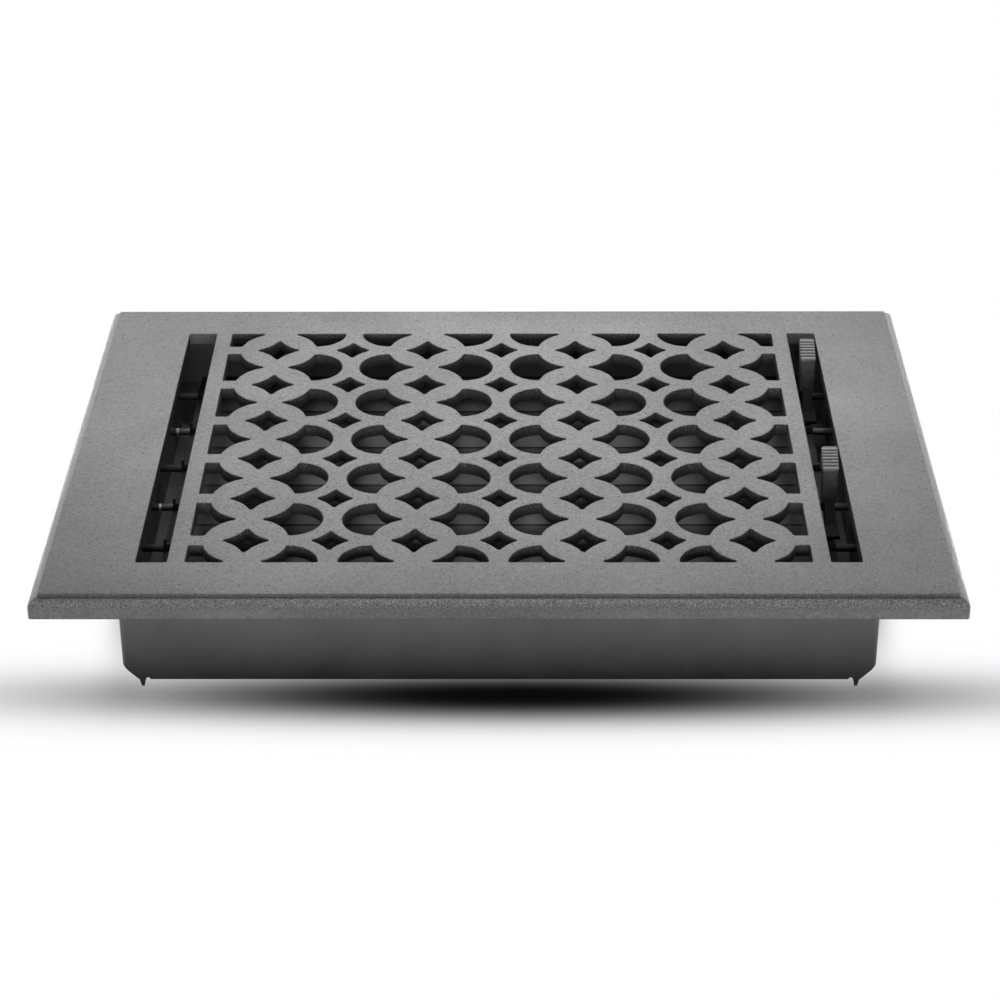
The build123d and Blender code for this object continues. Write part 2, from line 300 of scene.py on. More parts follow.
def joined(*runs):
    """A closed outline from runs laid end to end: at each corner the point stays and the normal turns."""
    points, normals = [], []
    for (run, normal), (_, follower) in zip(runs, runs[1:] + runs[:1]):
        leave = atan2(normal[-1, 1], normal[-1, 0])
        swing = (atan2(follower[0, 1], follower[0, 0]) - leave + pi) % (2.0 * pi) - pi
        turn = leave + swing * np.linspace(0.0, 1.0, FAN_POINTS + 2)[1:-1]
        points += [run, np.repeat(run[-1:], FAN_POINTS, axis=0)]
        normals += [normal, np.stack([np.cos(turn), np.sin(turn)], axis=1)]
    return np.concatenate(points), np.concatenate(normals)


def spread(outline, centres, mirror=(1, 1)):
    """Copies of an outline at the given centres, mirrored in x or y; a mirrored one runs the other way."""
    order = mirror[0] * mirror[1]
    points = (outline[0] * mirror)[::order]
    normals = (outline[1] * mirror)[::order]
    centres = np.atleast_2d(np.asarray(centres, float))
    return points + centres[:, None], np.repeat(normals[None], len(centres), axis=0)


def carried(base, normal, offsets, heights, first, outward):
    """A profile carried round outlines: point = base + offset * normal, at the profile's height.

    Returns the points, the index of each as outline by row by point, and the quads between rows.
    """
    count, around = base.shape[:2]
    rows = len(offsets)
    points = np.empty((count, rows, around, 3))
    points[..., :2] = base[:, None] + np.asarray(offsets)[:, None, None] * normal[:, None]
    points[..., 2] = np.asarray(heights)[:, None]
    index = first + np.arange(count * rows * around).reshape(count, rows, around)
    upper, lower = index[:, :-1], index[:, 1:]
    ring = [upper, np.roll(upper, -1, axis=2), np.roll(lower, -1, axis=2), lower]
    quads = np.stack(ring[::-1] if outward else ring, axis=-1).reshape(-1, 4)
    return points.reshape(-1, 3), index, quads


def filled(points, loops):
    """Triangles of a flat face that lies inside the first loop and outside the others, seen from above."""
    used = np.concatenate(loops)
    starts = np.cumsum([0] + [len(loop) for loop in loops])
    faces = [list(range(a, b)) for a, b in zip(starts[:-1], starts[1:])]
    flat = [Vector(p) for p in points[used, :2].tolist()]
    corners, _, triangles, sources, _, owners = delaunay_2d_cdt(flat, [], faces, 1, 1e-9, True)
    if len(corners) != len(used):
        raise RuntimeError("the outlines of the face cross each other")
    source = np.array([ids[0] for ids in sources])
    kept = [triangle for triangle, owner in zip(triangles, owners) if owner == [0]]
    return used[source[np.array(kept)]]


def face_openings(s):
    """Every opening of the lattice as outlines eroded by the tip rounding.

    A pointed hole is a circle less the two rings beside it; a diamond is what four circles on the corners
    of a square leave between them; an end hole is a rectangle less two rings.
    """
    pitch, erode = s.pitch, s.tip_round
    half = pitch / 2.0
    hole = s.hole * pitch - erode
    ring = s.ring * pitch + erode
    reach = half * sqrt(2.0)
    near = (hole**2 - ring**2 + reach**2) / (2.0 * reach)
    meet = pi / 4.0 + np.arccos(near / hole)
    meet_x, meet_y = hole * cos(meet), hole * sin(meet)

    def ring_arc(centre, start, end):
        begin, finish = [atan2(y - centre[1], x - centre[0]) for x, y in (start, end)]
        return arc(centre, ring, begin, finish, RING_POINTS, -1)

    upper, lower = (half, half), (half, -half)
    tip = half - sqrt(ring**2 - half**2)
    cut = half - sqrt(ring**2 - (half - erode) ** 2)
    left = pi - np.arcsin(erode / hole)
    eye = joined(
        ring_arc(upper, (tip, 0.0), (meet_x, meet_y)),
        arc((0.0, 0.0), hole, meet, 2.0 * pi - meet, HOLE_POINTS, 1),
        ring_arc(lower, (meet_x, -meet_y), (tip, 0.0)),
    )
    half_eye = joined(
        ring_arc(upper, (cut, erode), (meet_x, meet_y)),
        arc((0.0, 0.0), hole, meet, left, HOLE_POINTS // 2, 1),
        straight((hole * cos(left), erode), (cut, erode)),
    )

    def diamond(radius):
        point = half - sqrt(radius**2 - half**2)
        long, short = atan2(-half, point - half), atan2(point - half, -half)
        quarter = np.arange(4) * pi / 2.0
        turned = [(half * (cos(q) - sin(q)), half * (sin(q) + cos(q))) for q in quarter]
        sides = [(c, radius, long + q, short + q, DIAMOND_POINTS, -1) for c, q in zip(turned, quarter)]
        return joined(*[arc(*side) for side in sides])

    edge = s.side_half * pitch - erode
    end = (s.field_x - 3.0) * pitch - erode
    above, below = (0.0, half), (0.0, -half)
    side_tip = sqrt(ring**2 - half**2)
    side_cut = sqrt(ring**2 - (half - erode) ** 2)
    side_meet = sqrt(ring**2 - (half - edge) ** 2)
    side = joined(
        ring_arc(below, (side_tip, 0.0), (side_meet, -edge)),
        straight((side_meet, -edge), (end, -edge)),
        straight((end, -edge), (end, edge)),
        straight((end, edge), (side_meet, edge)),
        ring_arc(above, (side_meet, edge), (side_tip, 0.0)),
    )
    half_side = joined(
        straight((side_cut, erode), (end, erode)),
        straight((end, erode), (end, edge)),
        straight((end, edge), (side_meet, edge)),
        ring_arc(above, (side_meet, edge), (side_cut, erode)),
    )
    slot_half = (s.slot_out - s.slot_in) * pitch / 2.0 - erode
    slot_long = s.field_y * pitch - erode
    corners = [(x * slot_half, y * slot_long) for x, y in SQUARE]
    slot = joined(*[straight(a, b) for a, b in zip(corners, corners[1:] + corners[:1])])

    def grid(columns, rows):
        return pitch * np.stack(np.meshgrid(columns, rows), axis=-1).reshape(-1, 2)

    whole_rows = np.arange(-2.0, 2.5)
    between_rows = np.arange(-2.5, 3.0)
    openings = [
        spread(diamond(s.big_diamond * pitch + erode), grid([-3.0, -1.0, 1.0, 3.0], between_rows)),
        spread(diamond(s.small_diamond * pitch + erode), grid([-2.0, 0.0, 2.0], between_rows)),
    ]
    slot_middle = (s.slot_in + s.slot_out) / 2.0
    for facing, columns in ((1, [-1.5, 0.5, 2.5]), (-1, [-2.5, -0.5, 1.5])):
        openings.append(spread(eye, grid(columns, whole_rows), (facing, 1)))
        openings.append(spread(half_eye, grid(columns, [-s.field_y]), (facing, 1)))
        openings.append(spread(half_eye, grid(columns, [s.field_y]), (facing, -1)))
        openings.append(spread(side, grid([facing * 3.0], whole_rows), (facing, 1)))
        openings.append(spread(half_side, grid([facing * 3.0], [-s.field_y]), (facing, 1)))
        openings.append(spread(half_side, grid([facing * 3.0], [s.field_y]), (facing, -1)))
        openings.append(spread(slot, grid([facing * slot_middle], [0.0])))
    return openings


def quarter_round(centre, radius, start, end, count):
    """Profile points on a quarter circle, as offsets and heights."""
    turn = np.linspace(start, end, count)
    return np.stack([centre[0] + radius * np.cos(turn), centre[1] + radius * np.sin(turn)], axis=1)


def rim_profile(s, top):
    """The moulding's section from the flat face outwards and round under the skirt.

    A small edge, an upright step, a quarter round, an upright face and the skirt's inner wall follow one
    another; offsets are measured outwards from the edge of the raised face.
    """
    small = s.rim_edge
    fillet = FILLET_SHARE * small
    edge_count, fillet_count, round_count, foot_count = RIM_POINTS
    step = top - s.rim_quirk
    ledge = s.rim_setback - s.rim_round
    foot = FACE_LOW.z
    inner = s.rim_setback - s.rim_wall
    return np.concatenate(
        [
            quarter_round((-small, top - small), small, pi / 2.0, 0.0, edge_count),
            quarter_round((fillet, step + fillet), fillet, pi, 1.5 * pi, fillet_count),
            quarter_round((ledge, step - s.rim_round), s.rim_round, pi / 2.0, 0.0, round_count),
            np.array([[s.rim_setback, step - s.sand_deep * s.rim_round]]),
            quarter_round((s.rim_setback - small, foot + small), small, 0.0, -pi / 2.0, foot_count),
            np.array([[inner, foot], [inner, top - s.thickness]]),
        ]
    )


def rim_path(s):
    """The raised face's rectangle with rounded corners and its mitred normals.

    The third array is the size of each normal's y part: 1 where the rim faces front or back, 0 at the ends.
    """
    half = np.array([FACE_HIGH.x - s.rim_setback, FACE_HIGH.y - s.rim_setback])
    signs = np.repeat([[1, 1], [-1, 1], [-1, -1], [1, -1]], CORNER_POINTS, axis=0)
    turn = (np.linspace(0.0, pi / 2.0, CORNER_POINTS) + np.arange(4)[:, None] * pi / 2.0).ravel()
    ray = np.stack([np.cos(turn), np.sin(turn)], axis=1)
    return signs * (half - s.corner_round) + s.corner_round * ray, signs, np.abs(ray[:, 1])


def cast_face(s, material):
    """The cast face: rounded openings, flat top and underside, moulding and skirt in one closed mesh.

    Three attributes steer the coat. lit is 1 on the top and the rim, less on the step of the long
    sides, and 0 on the walls of the openings and below, where the coat takes painted shade. sandy is 1 on
    the upper moulding and fades out under it. short_side is 1 where the rim faces left or right, where the
    moulding takes a painted highlight.
    """
    top = FACE_HIGH.z
    step = top - s.rim_quirk
    step_start, step_end = top - 0.9 * s.rim_edge, step - 0.02 * s.rim_round
    rim_low, sand_high = FACE_LOW.z + s.rim_edge / 2.0, step + s.rim_edge / 10.0
    wall_high = top - s.edge_round * 0.6
    draws = np.random.default_rng(RAGGED_SEED)
    fillet = np.linspace(0.0, pi / 2.0, FILLET_POINTS)
    offsets = np.append(s.tip_round + s.edge_round * (1.0 - np.sin(fillet)), s.tip_round)
    heights = np.append(top - s.edge_round * (1.0 - np.cos(fillet)), top - s.thickness)
    points, quads, upper, lower = [], [], [], []
    masks = {"lit": [], "sandy": [], "short_side": []}
    first = 0
    path, signs, facing = rim_path(s)
    profile = rim_profile(s, top)
    pieces = [(path[None], signs[None].astype(float), profile[:, 0], profile[:, 1], True)]
    pieces += [(base, normal, offsets, heights, False) for base, normal in face_openings(s)]
    for base, normal, out, high, outward in pieces:
        if not outward:
            base = base + normal * draws.normal(0.0, s.ragged, base.shape[:2])[..., None]
        made, index, faces = carried(base, normal, out, high, first, outward)
        level = made[:, 2]
        if outward:
            long_side = np.tile(facing, len(out))
            # Painted shade on the step of the long sides, and on the skirt's underside and inner wall
            on_step = (level < step_start) & (level > step_end)
            masks["lit"].append(np.where(on_step, 1.0 - (1.0 - s.step_painted_shade) * long_side, level > rim_low))
            masks["short_side"].append(1.0 - long_side)
        else:
            # Painted shade on the openings' walls below their rounded top edge
            masks["lit"].append(level > wall_high)
            masks["short_side"].append(np.zeros(len(made)))
        depth = (step - level) / s.rim_round
        fade = np.clip((s.sand_deep - depth) / (s.sand_deep - SAND_FULL), 0.0, 1.0)
        masks["sandy"].append(np.where((level < sand_high) & outward, fade, 0.0))
        points.append(made)
        quads.append(faces)
        upper += list(index[:, 0])
        lower += list(index[:, -1])
        first += len(made)
    points = np.concatenate(points)
    above = filled(points, upper)
    under = filled(points, lower)[:, ::-1]
    face = piece_from_arrays("cast_face", points, [np.concatenate(quads), above, under], material, (1, 2))
    for name, values in masks.items():
        mask = face.data.attributes.new(name, "FLOAT", "POINT")
        mask.data.foreach_set("value", np.concatenate(values).astype(np.float32))
    return face


def rounded_outline(corners, radii, count, spacing):
    """A closed outline whose corners are circular arcs, resampled evenly by length.

    Each arc touches the two sides that meet at its corner; the points are then read off the running length.
    """
    corners = np.asarray(corners, float)
    radii = np.asarray(radii, float)[:, None]
    back = np.roll(corners, 1, axis=0) - corners
    ahead = np.roll(corners, -1, axis=0) - corners
    back /= np.linalg.norm(back, axis=1, keepdims=True)
    ahead /= np.linalg.norm(ahead, axis=1, keepdims=True)
    cosine = np.sum(back * ahead, axis=1, keepdims=True)
    bisector = (back + ahead) / np.linalg.norm(back + ahead, axis=1, keepdims=True)
    half_sine = np.sqrt((1.0 - cosine) / 2.0)
    centre = corners + bisector * radii / half_sine
    tangent = radii * np.sqrt((1.0 + cosine) / (1.0 - cosine))
    start = corners + back * tangent - centre
    stop = corners + ahead * tangent - centre
    begin = np.arctan2(start[:, 1], start[:, 0])
    swing = (np.arctan2(stop[:, 1], stop[:, 0]) - begin + pi) % (2.0 * pi) - pi
    turn = begin[:, None] + swing[:, None] * np.linspace(0.0, 1.0, count)
    ray = np.stack([np.cos(turn), np.sin(turn)], axis=-1)
    line = (centre[:, None] + radii[:, None] * ray).reshape(-1, 2)
    closed = np.concatenate([line, line[:1]])
    run = np.append(0.0, np.cumsum(np.linalg.norm(np.diff(closed, axis=0), axis=1)))
    steps = np.linspace(0.0, run[-1], int(run[-1] / spacing), endpoint=False)
    even = np.stack([np.interp(steps, run, closed[:, 0]), np.interp(steps, run, closed[:, 1])], axis=1)
    return even, steps, run[: len(line)].reshape(len(corners), count)


def outward_normals(line):
    """Unit normals of a closed anticlockwise outline, from the chord between each point's neighbours."""
    chord = np.roll(line, -1, axis=0) - np.roll(line, 1, axis=0)
    normal = np.stack([chord[:, 1], -chord[:, 0]], axis=1)
    return normal / np.linalg.norm(normal, axis=1, keepdims=True)


def slab(line, relief, low, high, edge, place, first):
    """An outline carried across from x = low to x = high with rounded sides.

    Row by row, point = line - inset * normal + relief * share * normal; the inset follows a quarter circle
    at each side, and the share fades the relief out there. place turns outline points into y and z.
    """
    turn = np.linspace(0.0, pi / 2.0, SIDE_POINTS)[::-1]
    step = edge * (1.0 - np.sin(turn))
    drop = edge * (1.0 - np.cos(turn))
    across = np.concatenate([low + step, high - step[::-1]])
    inset = np.concatenate([drop, drop[::-1]])
    shift = relief[None] * (1.0 - inset / edge)[:, None] - inset[:, None]
    side = place(line[None] + shift[..., None] * outward_normals(line)[None])
    rows, around = shift.shape
    points = np.concatenate([np.broadcast_to(across[:, None, None], (rows, around, 1)), side], axis=-1)
    index = first + np.arange(rows * around).reshape(rows, around)
    left, right = index[:-1], index[1:]
    quads = np.stack([left, np.roll(left, -1, axis=1), np.roll(right, -1, axis=1), right], axis=-1)
    caps = np.stack([index[0][::-1], index[-1]])
    return points.reshape(-1, 3), quads.reshape(-1, 4), caps


def thumb_lever(s, pitch, name, pivot, low, high, material, bracket):
    """A thumb lever: ridged head, narrower shank and flat foot, each an outline carried across its width.

    The ridges are |sin(ridges * pi * phase)| to a power, phase running from 0 to 1 along the thumb pad. The
    groove attribute is 1 between ridges, for painted shade, and the ridge attribute 1 on them, for a
    painted highlight. The shank and the foot take the bracket's paint.
    """
    half = s.blade_half * pitch
    start_u = half + s.head_lead
    start_v = FACE_HIGH.z - pivot[2]
    along, tall, rise = s.head_long, s.head_tall, s.head_rise
    turned = np.array([[cos(s.tilt), sin(s.tilt)], [-sin(s.tilt), cos(s.tilt)]])

    def place(flat):
        return flat @ turned + np.array(pivot[1:])

    head_corners = [(start_u + a * along, start_v + b * tall + c * rise) for a, b, c, _ in HEAD_OUTLINE]
    head_radii = [row[3] for row in HEAD_OUTLINE]
    line, steps, marks = rounded_outline(head_corners, head_radii, HEAD_POINTS, HEAD_SPACING)
    pad_start, pad_end = marks[4, -1], marks[6, 0]
    phase = np.clip((steps - pad_start) / (pad_end - pad_start), 0.0, 1.0)
    on_pad = (phase > 0.0) & (phase < 1.0)
    ridge = np.abs(np.sin(pi * s.ridges * phase)) ** RIDGE_POWER
    ease = np.clip(np.minimum(phase, 1.0 - phase) * s.ridges * 2.0, 0.0, 1.0)
    relief = np.where(on_pad, s.ridge_high * (ridge - 1.0), 0.0) * ease
    middle = high - s.head_wide / 2.0
    head_low, head_high = middle - s.head_wide / 2.0, middle + s.head_wide / 2.0
    points, quads, caps = slab(line, relief, head_low, head_high, s.edge_round, place, 0)
    head_count = len(points)
    base, neck = s.blade_thick / 2.0, start_v - NECK_DEEP * tall
    shank_corners = [
        (half - s.shank_wide, base + 0.5 * s.foot_thick),
        (half, base + 0.3 * s.foot_thick),
        (start_u + 0.4 * along, start_v - tall),
        (start_u + 0.35 * along, neck),
        (start_u + 0.05 * along, neck),
    ]
    heel = HEEL_SHARE * half
    foot_corners = [(heel, base), (half, base), (half, base + s.foot_thick), (heel, base + s.foot_thick)]
    rest = [
        (shank_corners, SHANK_ROUND, middle - s.shank_wide / 2.0, middle + s.shank_wide / 2.0),
        (foot_corners, FOOT_ROUND, low, low + s.foot_wide),
    ]
    groups = [quads, caps]
    for corners, radius, left, right in rest:
        radii = [radius] * len(corners)
        outline, _, _ = rounded_outline(corners, radii, BRACKET_POINTS, BRACKET_SPACING)
        flat = np.zeros(len(outline))
        made, faces, ends = slab(outline, flat, left, right, BRACKET_EDGE, place, len(points))
        points = np.concatenate([points, made])
        groups += [faces, ends]
    lever = piece_from_arrays(name, points, groups, material, (1, 3, 5))
    lever.data.materials.append(bracket)
    # Painted shade in the grooves and a painted highlight on the ridge tops
    groove = -relief / s.ridge_high
    wear_and_highlight = np.where(on_pad, 1.0 + relief / s.ridge_high, 0.0) ** 2
    for key, along_line in (("groove", groove), ("ridge", wear_and_highlight)):
        values = np.zeros(len(points), np.float32)
        values[:head_count] = np.tile(along_line, head_count // len(line))
        lever.data.attributes.new(key, "FLOAT", "POINT").data.foreach_set("value", values)
    head_faces = len(quads) + len(caps)
    on_bracket = np.arange(len(lever.data.polygons)) >= head_faces
    lever.data.polygons.foreach_set("material_index", on_bracket.astype(np.int32))
    return lever


class Finish:
    """A node material under construction: one Principled shader and the nodes that feed it."""

    def __init__(self, name, **sockets):
        self.material = bpy.data.materials.new(name)
        self.material.use_nodes = True
        self.tree = self.material.node_tree
        self.shader = self.tree.nodes["Principled BSDF"]
        for socket, value in sockets.items():
            self.shader.inputs[socket.replace("_", " ")].default_value = value
        self.place = self.tree.nodes.new("ShaderNodeTexCoord").outputs["Object"]

    def node(self, kind, settings=None, **sockets):
        """A node with its settings and socket values; an output passed as a value is linked.

        A socket is given by name, or by number after an underscore.
        """
        made = self.tree.nodes.new(kind)
        for name, value in (settings or {}).items():
            setattr(made, name, value)
        for name, value in sockets.items():
            socket = made.inputs[int(name[1:])] if name[0] == "_" else made.inputs[name.replace("_", " ")]
            if isinstance(value, bpy.types.NodeSocket):
                self.tree.links.new(value, socket)
            else:
                socket.default_value = value
        return made

    def axis(self, name):
        """The Object coordinate along one axis."""
        return self.node("ShaderNodeSeparateXYZ", Vector=self.place).outputs[name]

    def off_middle(self, name, middle=0.0):
        """Distance from a middle along one axis."""
        return self.math("ABSOLUTE", self.math("SUBTRACT", self.axis(name), middle), 0.0)

    def attribute(self, name):
        """A value stored on the mesh."""
        return self.node("ShaderNodeAttribute", {"attribute_name": name}).outputs["Fac"]

    def noise(self, scale, detail=3.0, roughness=0.55, vector=None):
        """Fractal noise on Object coordinates, scale in waves to the metre."""
        made = self.node(
            "ShaderNodeTexNoise", Vector=vector or self.place, Scale=scale, Detail=detail, Roughness=roughness
        )
        return made.outputs["Fac"]

    def stretched(self, scale):
        """Object coordinates scaled along each axis, for drawn marks."""
        return self.node("ShaderNodeMapping", Vector=self.place, Scale=scale).outputs["Vector"]

    def ramp(self, value, shade, *stops):
        """A colour ramp over a value; each stop is a position and a factor on one linear colour."""
        made = self.node("ShaderNodeValToRGB", Fac=value)
        for position, _ in stops[2:]:
            made.color_ramp.elements.new(position)
        for element, (position, factor) in zip(made.color_ramp.elements, sorted(stops)):
            element.position = position
            element.color = solid(shade, factor)
        return made.outputs["Color"]

    def spread(self, value, low, high, start, end):
        """A value mapped from low..high to start..end, held at the ends."""
        made = self.node("ShaderNodeMapRange", _0=value, _1=low, _2=high, _3=start, _4=end)
        return made.outputs["Result"]

    def math(self, operation, a, b, clamp=False):
        """One arithmetic step between two values, held to 0..1 where clamp is set."""
        settings = {"operation": operation, "use_clamp": clamp}
        return self.node("ShaderNodeMath", settings, _0=a, _1=b).outputs["Value"]

    def blend(self, factor, first, second):
        """Two colours mixed by a factor."""
        made = self.node("ShaderNodeMix", {"data_type": "RGBA"}, _0=factor, _6=first, _7=second)
        return made.outputs[2]

    def pits(self, scale, width):
        """Round pits, one to a Voronoi cell, each as deep as its cell's random red; width is in cells."""
        cells = self.node("ShaderNodeTexVoronoi", Vector=self.place, Scale=scale, Randomness=1.0)
        hollow = self.spread(cells.outputs["Distance"], width * 0.3, width, 1.0, 0.0)
        depth = self.node("ShaderNodeSeparateColor", Color=cells.outputs["Color"]).outputs["Red"]
        return self.math("MULTIPLY", hollow, self.spread(depth, 0.25, 1.0, 0.0, 0.9))

    def feed(self, socket, value):
        """Links an output to a socket of the shader."""
        self.tree.links.new(value, self.shader.inputs[socket])

    def bump(self, height, distance, strength):
        """Fine relief on the shader's normal."""
        made = self.node("ShaderNodeBump", Height=height, Distance=distance, Strength=strength)
        self.feed("Normal", made.outputs["Normal"])


def tone(shade, factor):
    """A colour made darker or lighter by a factor."""
    return tuple(min(1.0, channel * factor) for channel in shade)


def solid(shade, factor=1.0):
    """A toned colour with full alpha, for a colour socket."""
    return (*tone(shade, factor), 1.0)


def cast_coat(colours):
    """Sand-cast metal under a dull grey coat: smooth with small pits, and sandy along the moulding.

    The openings' walls and the underside are darker as painted shade, with rough flash near the top. The
    step of the long sides is darker too, and the slots' long walls darker still, both painted shade; the
    moulding on the short sides is paler, a painted highlight.
    """
    cast, top = colours.cast, FACE_HIGH.z
    f = Finish("cast_coat", IOR=1.5)
    grain = f.noise(CAST_GRAIN, 3.0, 0.65)
    cloud = f.noise(CAST_CLOUD, 2.0)
    sand = f.noise(CAST_SAND, 2.0, 0.65)
    level, ends, sides = f.axis("Z"), f.off_middle("X"), f.off_middle("Y")
    lit, sandy, short_side = [f.attribute(name) for name in ("lit", "sandy", "short_side")]
    mottle = f.math(
        "ADD", f.math("MULTIPLY", grain, GRAIN_SHARE), f.math("MULTIPLY", cloud, 1.0 - GRAIN_SHARE)
    )
    coat = f.ramp(mottle, cast, (0.35, 0.62), (0.65, 1.42))
    flat = f.spread(level, top - 0.0006, top - 0.0002, 0.0, 1.0)
    pits = f.math("MULTIPLY", flat, f.math("MAXIMUM", f.pits(*LARGE_PITS), f.pits(*SMALL_PITS)))
    plain = f.blend(pits, coat, solid(colours.pit))
    rough = f.ramp(sand, cast, (0.36, 0.35), (0.50, 0.85), (0.64, 1.6))
    # Painted highlight: on the short sides the moulding is made paler, as if light grazed it
    painted_side_highlight = f.ramp(sand, cast, (0.36, 1.2), (0.50, 1.7), (0.64, 2.1))
    face = f.blend(sandy, plain, f.blend(short_side, rough, painted_side_highlight))
    near_top = f.spread(level, top - 0.0032, top - 0.0008, 0.0, 0.7)
    flash = f.math("MULTIPLY", f.spread(sand, 0.54, 0.62, 0.0, 1.0), near_top)
    # Painted shade: the walls of the openings and the underside take a much darker tone
    wall = f.blend(flash, f.ramp(grain, cast, (0.3, 0.22), (0.7, 0.36)), solid(cast, 1.3))
    short_wall = f.ramp(sand, cast, (0.36, 0.5), (0.64, 1.5))
    # Painted shade: the slots' long walls are nearly black
    slot_walls_painted_shade = f.blend(f.spread(sides, *SLOT_END, 0.0, 1.0), solid(cast, 0.1), short_wall)
    in_slot = f.math("MULTIPLY", f.spread(ends, *SLOT_SIDE, 0.0, 1.0), f.spread(sides, *SLOT_PAST, 1.0, 0.0))
    f.feed("Base Color", f.blend(lit, f.blend(in_slot, wall, slot_walls_painted_shade), face))
    f.feed("Roughness", f.spread(grain, 0.3, 0.7, 0.38, 0.54))
    smooth = f.math("SUBTRACT", f.math("MULTIPLY", grain, 0.6), pits)
    gritty = f.math("MULTIPLY", f.math("MULTIPLY", sand, sandy), 1.6)
    f.bump(f.math("ADD", smooth, gritty), 0.00022, 0.9)
    return f.material


def sheet_paint(name, shade, scale, grain, dull, gloss, painted_foot_shade=1.0, inside=None):
    """Paint on sheet steel: faint clouding, orange peel and a few scuffed specks.

    scale and grain are the waves to the metre of the clouds and the peel, dull is the mean roughness, and
    gloss is the specular level. The paint darkens, as painted shade, to a share, painted_foot_shade, of its
    tone from below the face down to the floor. Where an inside colour is given, it covers what lies within
    the box's walls, without gloss.
    """
    f = Finish(name, Specular_IOR_Level=gloss)
    cloud = f.noise(scale, 4.0, 0.6)
    rub = f.spread(f.noise(grain * 0.4, 5.0, 0.7), 0.66, 0.74, 0.0, 0.55)
    paint = f.ramp(cloud, shade, (0.3, 0.85), (0.7, 1.2))
    wear_and_highlight = f.blend(rub, paint, solid(shade, 1.8))
    # Painted shade: the coat darkens from below the face down to the floor
    base = f.ramp(cloud, shade, (0.3, 0.9 * painted_foot_shade), (0.7, 1.1 * painted_foot_shade))
    coat = f.blend(f.spread(f.axis("Z"), *PAINTED_SHADE_FADE, 0.0, 1.0), base, wear_and_highlight)
    if inside:
        skins = [f.spread(f.off_middle(k), wall - SKIN_BLEND, wall, 0.0, 1.0) for k, wall in BOX_SKINS]
        outer = f.math("MAXIMUM", *skins)
        coat = f.blend(outer, f.ramp(cloud, inside, (0.3, 0.8), (0.7, 1.25)), coat)
        f.feed("Specular IOR Level", f.math("MULTIPLY", outer, gloss))
    f.feed("Base Color", coat)
    f.feed("Roughness", f.spread(cloud, 0.3, 0.7, dull - 0.1, dull + 0.1))
    f.bump(f.noise(grain, 2.0), PEEL_DEEP, 0.6)
    return f.material


def blade_paint(shade):
    """Thin black paint on the louvers, with painted shade at their ends and along each edge where blade meets
    blade.
    """
    gloss, edge_gloss = 0.12, 0.03
    f = Finish("louver_paint", Specular_IOR_Level=gloss)
    cloud = f.noise(60.0, 4.0, 0.6)
    paint = f.ramp(cloud, shade, (0.3, 0.9), (0.7, 1.5))
    # Painted shade: dark bands along each seam between blades and at the blades' ends
    seam_shade = f.spread(f.math("PINGPONG", f.axis("Y"), PITCH / 2.0), *SEAM_PAINTED_SHADE, 1.0, 0.0)
    end = f.spread(f.off_middle("X"), *END_PAINTED_SHADE, 0.0, 0.85)
    edge = f.math("MAXIMUM", seam_shade, end)
    f.feed("Base Color", f.blend(edge, paint, solid(shade, 0.3)))
    f.feed("Specular IOR Level", f.spread(edge, 0.0, 1.0, gloss, edge_gloss))
    f.feed("Roughness", f.spread(cloud, 0.3, 0.7, 0.27, 0.45))
    f.bump(f.noise(300.0, 2.0), PEEL_DEEP, 0.6)
    return f.material


def lever_plastic(colours):
    """Moulded plastic: fine spark-eroded grain, a painted highlight on the ridges and painted shade in the
    grooves.
    """
    plastic = colours.plastic
    f = Finish("lever_plastic", IOR=1.49)
    wear = f.noise(260.0, 3.0)
    shade = f.ramp(wear, plastic, (0.35, 0.6), (0.7, 1.0))
    # Painted highlight on the ridge tops and painted shade in the grooves
    rubbed_and_highlight = f.blend(f.attribute("ridge"), shade, solid(plastic, 2.7))
    f.feed("Base Color", f.blend(f.attribute("groove"), rubbed_and_highlight, solid(plastic, 0.12)))
    f.feed("Roughness", f.spread(wear, 0.35, 0.7, 0.36, 0.5))
    f.bump(f.noise(3800.0, 2.0), 0.00003, 0.6)
    return f.material


def drawn_steel(colours):
    """Drawn steel: fine lines along x, with small changes of tone."""
    f = Finish("drawn_steel", Metallic=1.0)
    lines = f.noise(1.0, 3.0, 0.6, f.stretched(DRAWN_LINES))
    f.feed("Base Color", f.ramp(lines, colours.steel, (0.3, 0.75), (0.7, 1.2)))
    f.feed("Roughness", f.spread(lines, 0.3, 0.7, 0.22, 0.4))
    f.bump(lines, 0.00001, 0.4)
    return f.material


def rod_paint(name, colours, rubbed_and_highlight):
    """The louvers' paint on a rod, scuffed to bright steel at one spot inside the left end panel, partly wear
    and partly a painted glint.
    """
    f = Finish(name, IOR=1.5)
    cloud = f.noise(300.0, 3.0)
    paint = f.ramp(cloud, colours.louver, (0.3, 4.0), (0.7, 6.0))
    along = f.axis("X")
    start, end = rubbed_and_highlight
    # The bright steel spot is partly scuffed metal and partly a painted glint
    begun = f.spread(along, start, start + RUBBED_GLINT_BLEND, 0.0, 1.0)
    spot = f.math("MULTIPLY", begun, f.spread(along, end, end + RUBBED_GLINT_BLEND, 1.0, 0.0))
    f.feed("Base Color", f.blend(spot, paint, solid(colours.steel, 2.4)))
    f.feed("Metallic", f.math("MULTIPLY", spot, 0.5))
    f.feed("Roughness", f.spread(cloud, 0.3, 0.7, 0.3, 0.5))
    return f.material


def dress(nodes, material):
    """Puts one material on CAD nodes, whose shapes stay as they are."""
    for node in nodes:
        mesh = frame["nodes"][node].data
        mesh.materials.clear()
        mesh.materials.append(material)


